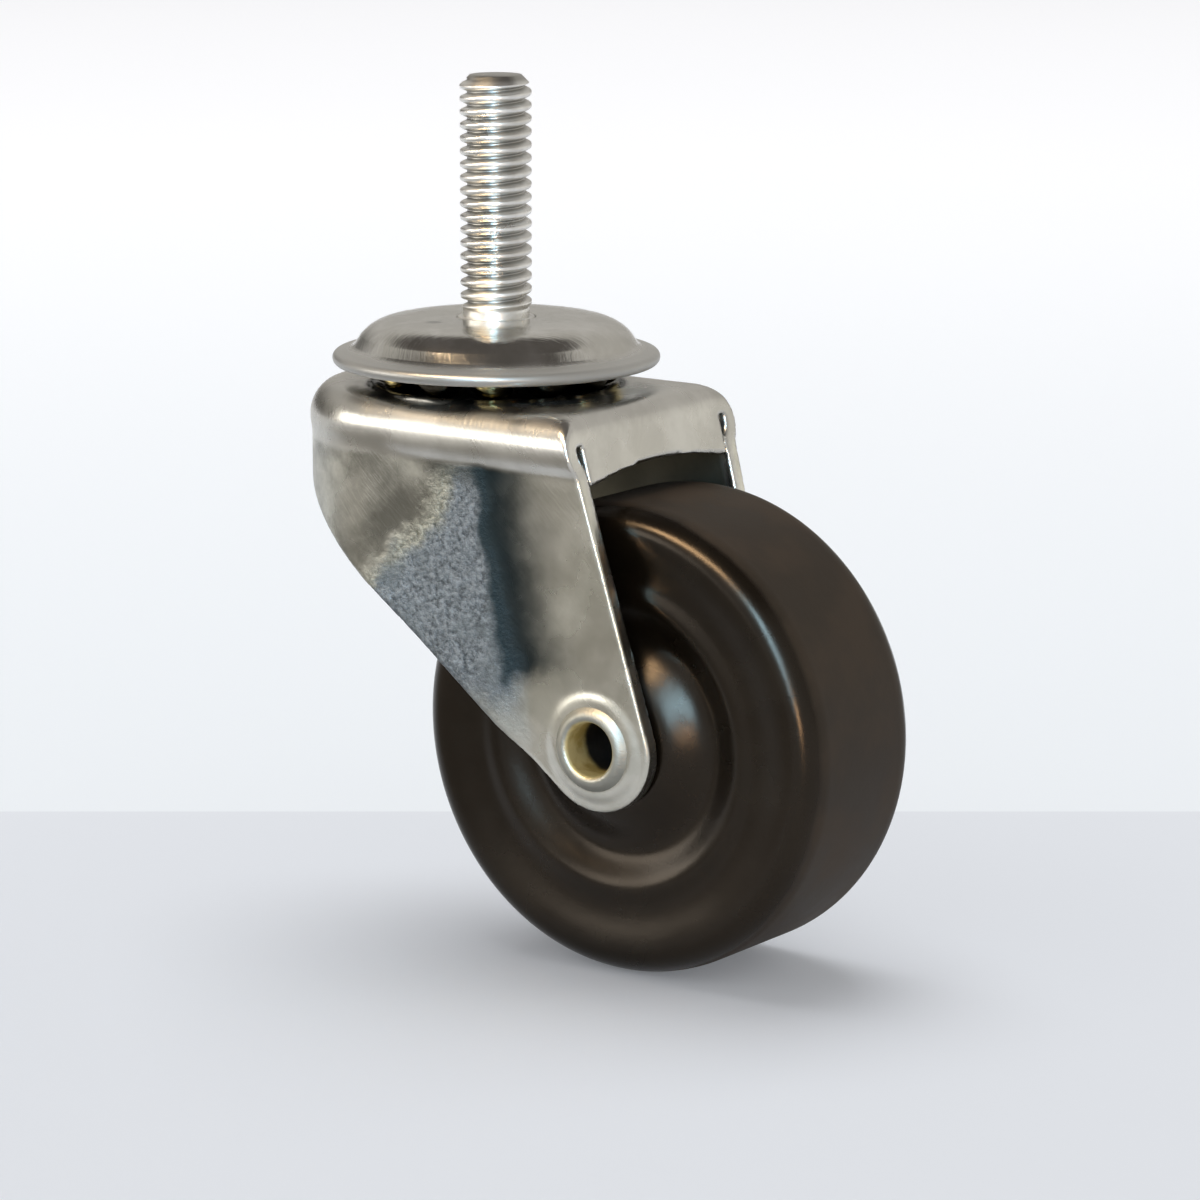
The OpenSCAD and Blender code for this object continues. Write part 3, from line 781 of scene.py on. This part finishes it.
# %% Fork finish
def fork_finish():
    f = Finish("mottled_fork_plating", patch=110.0, grain=1500.0, scratch=420.0)
    x, y, z = f.xyz()
    ragged = f.maths("MULTIPLY", f.maths("SUBTRACT", f.cloud, 0.5), 0.012)
    fine = f.maths("MULTIPLY", f.maths("SUBTRACT", f.rub, 0.5), 0.006)
    ragged_z = f.maths("ADD", z, ragged)
    # Only the outer faces of the legs are dull, not the ones that face the wheel
    nose_x = f.maths("MINIMUM", f.maths("SUBTRACT", x, NOSE_X * MM), 0.0)
    round_nose = node(f.tree, "ShaderNodeCombineXYZ", {0: nose_x, 1: y}).outputs[0]
    from_middle = f.plus(f.vector("LENGTH", round_nose).outputs["Value"], z, -LEG_TAPER)
    leg = f.times(f.fade(from_middle, *OUTER_FACE), f.below(f.plus(z, fine, 0.2), *LEG_TOP))
    drop = f.maths("ADD", z, ZONE_TOP)
    line = f.maths("ADD", f.plus(x, drop, LINE_LEAN), ragged)
    band = f.maths("ADD", f.plus(x, drop, BAND_LEAN), fine)
    dull = f.times(f.fade(line, *DULL_START), f.below(band, *DULL_STOP), leg,
                   f.fade(ragged_z, *DULL_LOW))
    # The band along the fold is painted shade and a painted dark reflection of the concave sheet
    dark = f.times(f.fade(band, *FOLD_SHADE_START), f.below(band, *FOLD_SHADE_STOP), leg,
                   f.fade(ragged_z, *FOLD_SHADE_LOW))
    smooth = f.patches(f.cloud, *CLOUD_EDGE, (0.20, 0.194, 0.166), (0.53, 0.514, 0.45))
    behind = f.patches(f.cloud, *CLOUD_EDGE, (0.47, 0.455, 0.39), (0.64, 0.62, 0.55))
    smooth = f.blend(f.fade(x, 0.010, 0.0165), smooth, behind)
    bright = f.patches(f.cloud, *CLOUD_EDGE, (0.45, 0.435, 0.395), (0.57, 0.553, 0.51))
    clean = f.blend(leg, bright, smooth)
    zinc = f.patches(f.grain, 0.30, 0.66, (0.055, 0.063, 0.069), (0.235, 0.257, 0.274))
    olive = f.patches(f.grain, 0.34, 0.62, (0.13, 0.13, 0.105), (0.36, 0.355, 0.30))
    zinc = f.blend(f.fade(f.maths("ADD", line, fine), *OLIVE_BORDER), olive, zinc)
    zinc = f.blend(f.fade(f.rub, 0.50, 0.64, 0.0, 0.7), zinc, colour(0.13, 0.147, 0.155))
    base = f.blend(dull, clean, zinc)
    # The leg under the shoulder's roll is painted darker, a painted shade under the roll
    middle_of_leg = f.times(f.fade(x, 0.0, 0.004), f.below(x, 0.012, 0.016))
    roll_shade = f.times(f.fade(f.plus(z, ragged, 0.25), -0.0168, -0.0140), leg, middle_of_leg)
    base = f.blend(f.maths("MULTIPLY", roll_shade, 0.75), base, colour(0.06, 0.065, 0.06))
    # Paint the nearly black band of shade along the fold
    base = f.blend(f.maths("MULTIPLY", dark, 0.96), base, FOLD_SHADE_BLACK)
    # The ball track under the cap is painted near black, a painted shade under the cap
    in_track = f.below(f.plus(f.from_stem(), fine, 0.3), 0.0134, 0.0145, 0.85)
    base = f.blend(f.times(in_track, f.fade(z, -0.0100, -0.0092)), base, CAP_SHADE_BLACK)
    # Inside, the legs and the apron are painted dark, a painted shade, but the apron's outer face is
    # left out
    trail = math.radians(TRAIL_SLOPE)
    past_bend = f.maths("SUBTRACT", x, APRON_BEND_X * MM)
    over_bend = f.maths("SUBTRACT", z, APRON_BEND_Z * MM)
    from_apron = f.plus(f.maths("MULTIPLY", past_bend, math.cos(trail)), over_bend, math.sin(trail))
    inner = f.times(f.below(from_middle, *INNER_FACE), f.below(z, *INSIDE_TOP),
                    f.below(from_apron, *APRON_FACE))
    inside_shade = f.blend(f.cloud, colour(0.05, 0.045, 0.03), colour(0.17, 0.155, 0.115))
    base = f.blend(inner, base, inside_shade)
    rough = f.plus(f.fade(f.rub, 0.3, 0.7, 0.21, 0.33), f.maths("ADD", dull, inner), 0.22)
    f.feed(Base_Color=base, Metallic=1.0, Roughness=rough)
    f.bump(f.plus(f.plus(f.cloud, f.scratch, 0.2), f.times(dull, f.grain), 8.0), 0.02)
    return f.material


fork_steel = fork_finish()
fork.data.materials.append(fork_steel)
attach(fork, "fork")
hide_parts("fork")

# %% [markdown]
# ## The axle rivet
# A hollow rivet holds the legs together and is the wheel's axle. Each end is rolled
# outwards over the leg, so its lip is round and blends into the steel. The plating
# inside the tube is thin and yellow, and the lip is grey like the leg.

# %% Rivet finish
def rivet_finish():
    f = Finish("yellow_bore_rivet", patch=400.0, grain=2500.0, scratch=900.0)
    inside = f.below(f.plus(f.from_axle(), f.cloud, 0.0003), 0.00305, 0.0034)
    grey = f.blend(f.cloud, colour(0.25, 0.245, 0.21), colour(0.35, 0.34, 0.30))
    yellow = f.patches(f.cloud, 0.35, 0.65, (0.50, 0.38, 0.13), (0.80, 0.69, 0.36))
    # Deeper than a few millimetres in from the mouth, the bore is painted near black, a painted shade
    # inside the tube
    across = f.maths("ABSOLUTE", f.xyz()[1])
    bore_shade = f.below(f.plus(across, f.cloud, 0.0008), 0.0106, 0.0117)
    yellow = f.blend(bore_shade, yellow, colour(0.012, 0.010, 0.008))
    f.feed(Base_Color=f.blend(inside, grey, yellow), Metallic=f.plus(1.0, inside, -0.55),
           Roughness=f.plus(f.fade(f.rub, 0.3, 0.7, 0.38, 0.5), inside, 0.05))
    f.bump(f.maths("ADD", f.scratch, f.cloud), 0.01)
    return f.material


rivet_gold = rivet_finish()

# %% Rivet
RIVET_TUBE_R, RIVET_LIP_R, RIVET_LIP_H = 3.4, 4.6, 0.8
MOUTH_R, MOUTH_BEND_R = 3.5, 0.6
# Share of the lip's height that its outer edge has
LIP_EDGE = 0.12
seat = PAD_OUT + 0.02
half_rivet = [(RIVET_TUBE_R, seat), (RIVET_LIP_R, seat)]
for t in np.linspace(0, 1, 10):
    rise = LIP_EDGE + (1 - LIP_EDGE) * math.sin(t * math.pi / 2)
    half_rivet.append((RIVET_LIP_R - t * (RIVET_LIP_R - MOUTH_R), seat + RIVET_LIP_H * rise))
half_rivet += arc(MOUTH_R, seat + RIVET_LIP_H - MOUTH_BEND_R, MOUTH_BEND_R, 90, 180, 10)[1:]
rivet_profile = half_rivet + [(r, -y) for r, y in half_rivet[::-1]]
rivet = turned("axle_rivet_rolled", eased(rivet_profile, 0.08), axis="y", centre=AXLE, segments=128)
rivet.data.materials.append(rivet_gold)
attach(rivet, "fork")
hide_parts("axle_rivet")

# %% [markdown]
# ## The wheel
# The wheel is one moulding of hard rubber. From the tread inwards its face has a lip, a
# low ring, a valley, and a boss round the axle, with smooth curves between them, and
# the lip runs over into the tread in a quarter of an ellipse. The mould gives the face
# a satin skin, and the floor has rubbed the tread dull and brown.

# %% Wheel finish
def wheel_finish():
    f = Finish("moulded_brown_rubber", patch=60.0, grain=1400.0, scratch=250.0, stretch=6.0)
    tread = f.fade(f.plus(f.from_axle(), f.rub, 0.0003), 0.02510, 0.02545)
    face = f.patches(f.cloud, 0.35, 0.65, (0.006, 0.0042, 0.0025), (0.0115, 0.0078, 0.0046))
    dusty = f.patches(f.rub, 0.35, 0.65, (0.019, 0.0128, 0.0078), (0.034, 0.0228, 0.0146))
    f.feed(Base_Color=f.blend(tread, face, dusty), Metallic=0.0,
           Roughness=f.plus(f.fade(f.rub, 0.3, 0.7, 0.2, 0.3), tread, 0.36))
    f.shader.inputs["Specular IOR Level"].default_value = 0.31
    f.shader.inputs["Specular Tint"].default_value = colour(1.0, 0.84, 0.68)
    f.bump(f.plus(f.cloud, f.grain, 0.6), 0.03)
    return f.material


wheel_rubber = wheel_finish()

# %% Wheel
# Crests and valleys of the face from the hub to the lip: radius and distance from the
# middle
FACE = [(6.6, HUB_Y), (12.1, 8.2), (16.1, 9.6), (17.8, 9.4), (22.7, WHEEL_HALF)]
TREAD_EDGE = 3.6
bore_r, tread_r = BUSH_R + 0.08, WHEEL_R - 0.01
half_wheel = [(bore_r, HUB_Y)]
for (r0, y0), (r1, y1) in zip(FACE, FACE[1:]):
    for t in np.linspace(0, 1, 15)[:-1]:
        half_wheel.append((r0 + (r1 - r0) * t, y0 + (y1 - y0) * s_curve(t, 0, 1)))
edge_r, edge_y = FACE[-1][0], FACE[-1][1] - TREAD_EDGE
for t in np.linspace(0, math.pi / 2, 20):
    half_wheel.append((edge_r + (tread_r - edge_r) * math.sin(t), edge_y + TREAD_EDGE * math.cos(t)))
wheel_profile = half_wheel + [(r, -y) for r, y in half_wheel[::-1]]
wheel = turned("wheel_moulded", eased(wheel_profile, 0.6, 6), axis="y", centre=AXLE, segments=256)
wheel.data.materials.append(wheel_rubber)
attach(wheel, "wheel")
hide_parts("wheel")

# %% [markdown]
# ## The parts that keep their solids
# The balls, the lower race and the bush are right as the drawing makes them. They only
# get a finish: polished balls, mostly painted near black as a painted shade under the
# cap, with a film of grease that shows yellow in the gap, and plain plating on the two
# hidden pieces.

# %% Ball and race finishes
def ball_finish():
    f = Finish("greased_shaded_ball_steel", patch=350.0, grain=2500.0, scratch=900.0)
    # Most of each ball is painted near black, a painted shade under the cap; the rest keeps a yellow
    # film of grease
    ball_shade_share = f.below(f.cloud, 0.50, 0.60)
    base = f.blend(ball_shade_share, colour(0.60, 0.50, 0.25), colour(0.05, 0.042, 0.03))
    f.feed(Base_Color=base, Metallic=1.0, Roughness=f.fade(f.rub, 0.3, 0.7, 0.08, 0.2))
    f.bump(f.maths("MULTIPLY", f.scratch, ball_shade_share), 0.004)
    return f.material


def plain_finish():
    f = Finish("plain_race_plating", patch=160.0, grain=1200.0, scratch=500.0)
    base = f.patches(f.cloud, 0.4, 0.6, (0.44, 0.43, 0.4), (0.58, 0.57, 0.54))
    f.feed(Base_Color=base, Metallic=1.0, Roughness=f.fade(f.rub, 0.3, 0.7, 0.2, 0.4))
    f.bump(f.scratch, 0.006)
    return f.material


ball_steel, race_steel = ball_finish(), plain_finish()
for name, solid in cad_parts.items():
    if "ball" in name:
        chosen = ball_steel
    elif name in ("lower_race", "axle_bush"):
        chosen = race_steel
    else:
        continue
    solid.data.materials.clear()
    solid.data.materials.append(chosen)
print("finished", sum("ball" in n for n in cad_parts), "balls and the hidden pieces")

# %% [markdown]
# ## Floor
# The castor stands on a pale floor that goes on to the end of the view. Its tone
# changes along a straight line behind the castor, as in the photograph, and lightens
# with the distance. Part of its light is its own, which keeps the shadow soft.

# %% Floor
FLOOR_NEAR = colour(0.685, 0.712, 0.760)
FLOOR_FAR = colour(0.760, 0.795, 0.836)
FLOOR_END = colour(0.925, 0.935, 0.965)
FLOOR_GLOW, FLOOR_END_GLOW = 0.19, 0.47
FLOOR_SPAN = (-6.0, 6.0)
# Between which distances from the castor the tone fades and the glow grows
FADE_SPAN, GLOW_SPAN = (0.05, 0.85), (0.25, 1.35)
# The direction straight back from the camera, where the view's middle lies along it,
# and how far behind that the tone changes
FLOOR_BACK, MIDDLE_BACK, TONE_LINE = (-0.5906, 0.807, 0.0), -0.0059, (0.0538, 0.0546)


def floor_finish():
    material = bpy.data.materials.new("pale_floor")
    material.use_nodes = True
    tree = material.node_tree
    shader = tree.nodes["Principled BSDF"]
    where = node(tree, "ShaderNodeTexCoord").outputs["Object"]
    behind = node(tree, "ShaderNodeVectorMath", {0: where, 1: FLOOR_BACK}, operation="DOT_PRODUCT")
    distance = math_node(tree, "SUBTRACT", behind.outputs["Value"], MIDDLE_BACK)
    beyond = ramp(tree, distance, *TONE_LINE)
    away = node(tree, "ShaderNodeVectorMath", {0: where}, operation="LENGTH").outputs["Value"]
    fading = ramp(tree, away, *FADE_SPAN)
    glow = ramp(tree, away, *GLOW_SPAN, FLOOR_GLOW, FLOOR_END_GLOW)
    tone = mixed(tree, fading, mixed(tree, beyond, FLOOR_NEAR, FLOOR_FAR), FLOOR_END)
    tree.links.new(tone, shader.inputs["Base Color"])
    tree.links.new(tone, shader.inputs["Emission Color"])
    tree.links.new(glow, shader.inputs["Emission Strength"])
    shader.inputs["Roughness"].default_value = 0.9
    shader.inputs["Specular IOR Level"].default_value = 0.0
    return material


def flat_card(name, x_span, y_span, z):
    (x0, x1), (y0, y1) = x_span, y_span
    mesh = bpy.data.meshes.new(name)
    mesh.from_pydata([(x0, y0, z), (x1, y0, z), (x1, y1, z), (x0, y1, z)], [], [(0, 1, 2, 3)])
    card = bpy.data.objects.new(name, mesh)
    bpy.context.scene.collection.objects.link(card)
    return card


floor = flat_card("floor", FLOOR_SPAN, FLOOR_SPAN, FLOOR_Z * MM)
floor.data.materials.append(floor_finish())
print("the floor lies at", round(FLOOR_Z, 1), "mm")

# %% [markdown]
# ## Light
# Bright metal shows the room more than its own colour. The room is a soft grey that is
# darkest overhead and has a dark end behind the nose. Four soft boxes show only in
# reflections: a wide one to the left of the camera, a tall cool one in front, like a
# window, and two warm ones. So the cap and the shoulder get a dark band between two
# light ones, as in the photograph. A fifth box above lights all of it evenly and shows
# in no reflection.

# %% Room
world = bpy.data.worlds.new("studio")
bpy.context.scene.world = world
world.use_nodes = True
room = world.node_tree
backdrop = room.nodes["Background"]
direction = node(room, "ShaderNodeTexCoord").outputs["Generated"]
height = node(room, "ShaderNodeSeparateXYZ", {0: direction}).outputs[2]


def facing(azimuth, low, high):
    a = math.radians(azimuth)
    along = node(room, "ShaderNodeVectorMath", {0: direction, 1: (math.cos(a), math.sin(a), 0.0)},
                 operation="DOT_PRODUCT")
    return ramp(room, along.outputs["Value"], low, high)


# Directions are degrees round the castor, with the camera at -54
COOL_SIDE, DARK_END, LIGHT_END = -61.0, 172.0, 50.0
wall = mixed(room, facing(COOL_SIDE, 0.15, 0.75), colour(0.50, 0.485, 0.455), colour(0.78, 0.81, 0.84))
wall = mixed(room, facing(DARK_END, 0.80, 0.95), wall, colour(0.10, 0.097, 0.09))
wall = mixed(room, facing(LIGHT_END, 0.7, 0.95), wall, colour(1.0, 0.985, 0.93))
upper = mixed(room, ramp(room, height, 0.12, 0.5), wall, colour(0.66, 0.645, 0.62))
# The dark ceiling comes down lower at the dark end
lowered = math_node(room, "MULTIPLY", facing(DARK_END, 0.3, 0.9), 0.17)
ceiling = ramp(room, math_node(room, "ADD", height, lowered), 0.72, 0.84)
overhead = mixed(room, ceiling, upper, colour(0.13, 0.12, 0.115))
# The camera itself sees the end of the floor's tone all round
seen = node(room, "ShaderNodeLightPath").outputs["Is Camera Ray"]
room.links.new(mixed(room, seen, overhead, FLOOR_END), backdrop.inputs["Color"])
backdrop.inputs["Strength"].default_value = 1.0


# %% Lamps
def soft_box(name, azimuth, elevation, distance, width, height, watts, tint=(1.0, 1.0, 1.0)):
    lamp = bpy.data.lights.new(name, "AREA")
    lamp.shape = "RECTANGLE"
    lamp.size, lamp.size_y, lamp.energy, lamp.color = width, height, watts, tint
    box = bpy.data.objects.new(name, lamp)
    a, e = math.radians(azimuth), math.radians(elevation)
    away = Vector((math.cos(a) * math.cos(e), math.sin(a) * math.cos(e), math.sin(e)))
    box.location = aim + away * distance
    box.rotation_euler = (-away).to_track_quat("-Z", "Y").to_euler()
    bpy.context.scene.collection.objects.link(box)
    return box


# Name, direction and elevation in degrees, distance, width, height, watts and tint
REFLECTED = [
    ("left_box", -136.0, 13.0, 1.0, 0.75, 0.36, 3.4, (1.0, 0.965, 0.90)),
    ("window", -63.0, 24.0, 1.1, 0.22, 0.56, 14.0, (0.42, 0.72, 1.0)),
    ("warm_high", -100.0, 49.0, 1.1, 0.60, 0.22, 14.0, (1.0, 0.74, 0.46)),
    ("warm_low", -51.0, 3.0, 1.1, 0.10, 0.14, 2.4, (1.0, 0.66, 0.38))]
for box_values in REFLECTED:
    soft_box(*box_values).visible_diffuse = False
top_box = soft_box("top_box", 140.0, 74.0, 1.0, 0.8, 0.8, 6.4)
top_box.visible_glossy = False

# %% [markdown]
# ## A grey flag
# The flat side of a bright leg is a mirror for the floor in front of the castor. A
# photographer takes such a surface down with a grey flag, a card that only shows in
# reflections. It lies on the floor, out of the picture, and throws no shadow.

# %% Flag
FLAG_X, FLAG_Y, FLAG_RISE = (-0.30, 0.0), (-0.34, -0.055), 1.5
flag = flat_card("grey_flag", FLAG_X, FLAG_Y, (FLOOR_Z + FLAG_RISE) * MM)
grey_card = bpy.data.materials.new("grey_card")
grey_card.use_nodes = True
grey = grey_card.node_tree.nodes["Principled BSDF"].inputs
grey["Base Color"].default_value = colour(0.36, 0.355, 0.34)
grey["Roughness"].default_value = 0.9
flag.data.materials.append(grey_card)
flag.visible_camera = flag.visible_diffuse = flag.visible_shadow = flag.visible_transmission = False

# %% Colour management
bpy.context.scene.view_settings.view_transform = "Standard"
